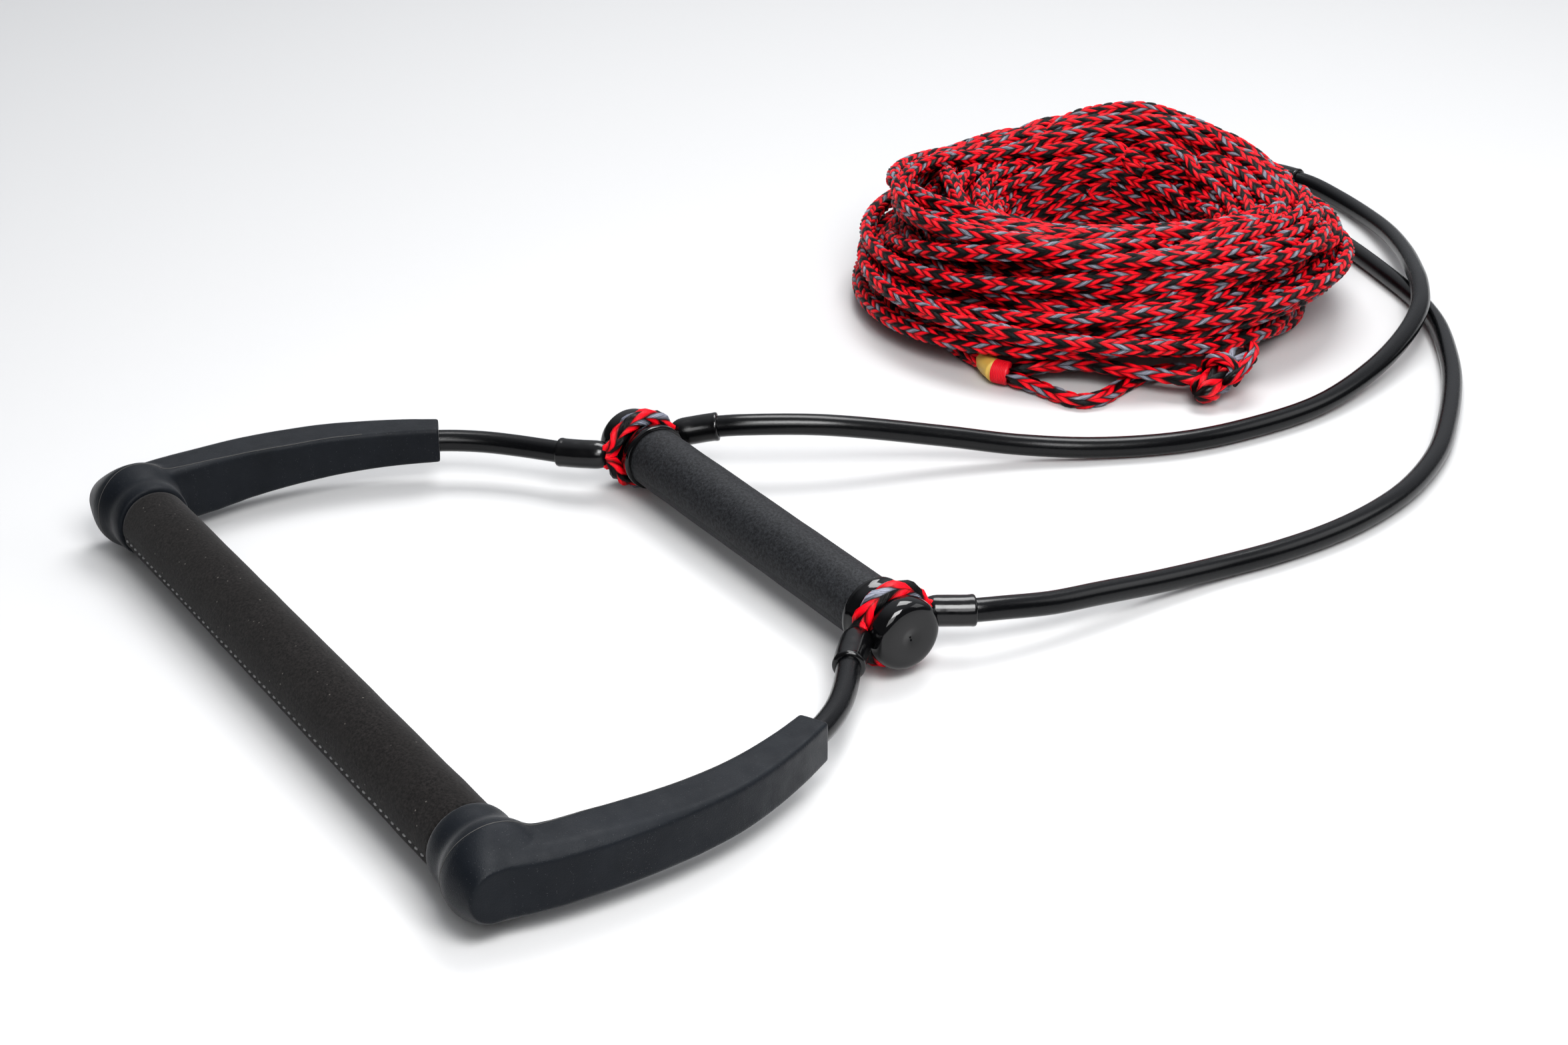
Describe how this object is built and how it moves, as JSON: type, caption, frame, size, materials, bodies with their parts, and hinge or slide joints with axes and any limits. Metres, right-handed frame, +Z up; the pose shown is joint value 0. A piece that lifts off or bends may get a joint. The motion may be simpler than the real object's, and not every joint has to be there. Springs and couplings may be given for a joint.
{
  "type": "tow rope handle",
  "caption": "Rigid trapeze-style water-sports tow handle with a suede grip, foam second grip on rope eyes, hose-covered legs and a coiled braided tow rope.",
  "frame": {"origin": "on the surface the handle lies on, under the middle of the rigid handle's footprint, measured without the free rope line", "axes": "+X along both bars towards the right arm, +Y from the main bar towards the tow rope, +Z up"},
  "size_m": [0.4671, 0.7298, 0.066],
  "materials": {
    "aluminium": "bare drawn tube",
    "foam": "matte closed-cell foam",
    "suede": "matte napped suede",
    "nylon": "matte moulded",
    "rubber": "matte moulded rubber",
    "vinyl": "semi-gloss flexible vinyl",
    "gloss_vinyl": "glossy dipped vinyl",
    "rope": "braided fibre in red, black and grey",
    "thread": "wound thread",
    "yellow_vinyl": "matte flexible vinyl"
  },
  "bodies": {
    "tow_line": {"left_leg_hose": "vinyl", "right_leg_hose": "vinyl", "left_leg_end_sleeve": "vinyl", "right_leg_end_sleeve": "vinyl", "leg_junction_knot": "rope", "tow_rope_lead": "rope", "rope_coil": "rope", "line_sleeve": "yellow_vinyl", "loop_whipping": "thread", "boat_end_loop": "rope", "boat_end_knot": "rope"},
    "harness": {"left_arm_sleeve": "vinyl", "right_arm_sleeve": "vinyl", "left_rope_eye": "rope", "right_rope_eye": "rope", "left_leg_sleeve": "vinyl", "right_leg_sleeve": "vinyl"},
    "main_handle": {"main_bar_tube": "aluminium", "main_grip_core": "foam", "main_grip_suede": "suede", "left_bar_plug": "nylon", "right_bar_plug": "nylon", "handle_rope": "rope", "left_arm": "rubber", "right_arm": "rubber", "left_arm_hose": "vinyl", "right_arm_hose": "vinyl"},
    "second_bar": {"second_bar_tube": "aluminium", "second_grip_foam": "foam", "left_end_cap": "gloss_vinyl", "right_end_cap": "gloss_vinyl"}
  },
  "joints": [
    {"name": "harness_lift", "type": "hinge", "parent": "tow_line", "child": "harness", "pos_m": [0, 0.17265, 0.0085], "axis": [-1, 0, 0], "range_deg": [0, 45], "deforming": ["left_leg_hose", "right_leg_hose"]},
    {"name": "bar_spin", "type": "hinge", "parent": "harness", "child": "second_bar", "pos_m": [0, 0.09125, 0.0185], "axis": [1, 0, 0], "continuous": true},
    {"name": "handle_lift", "type": "hinge", "parent": "harness", "child": "main_handle", "pos_m": [0, 0.04565, 0.016], "axis": [-1, 0, 0], "range_deg": [0, 90], "deforming": ["left_arm_hose", "right_arm_hose", "handle_rope"]}
  ]
}
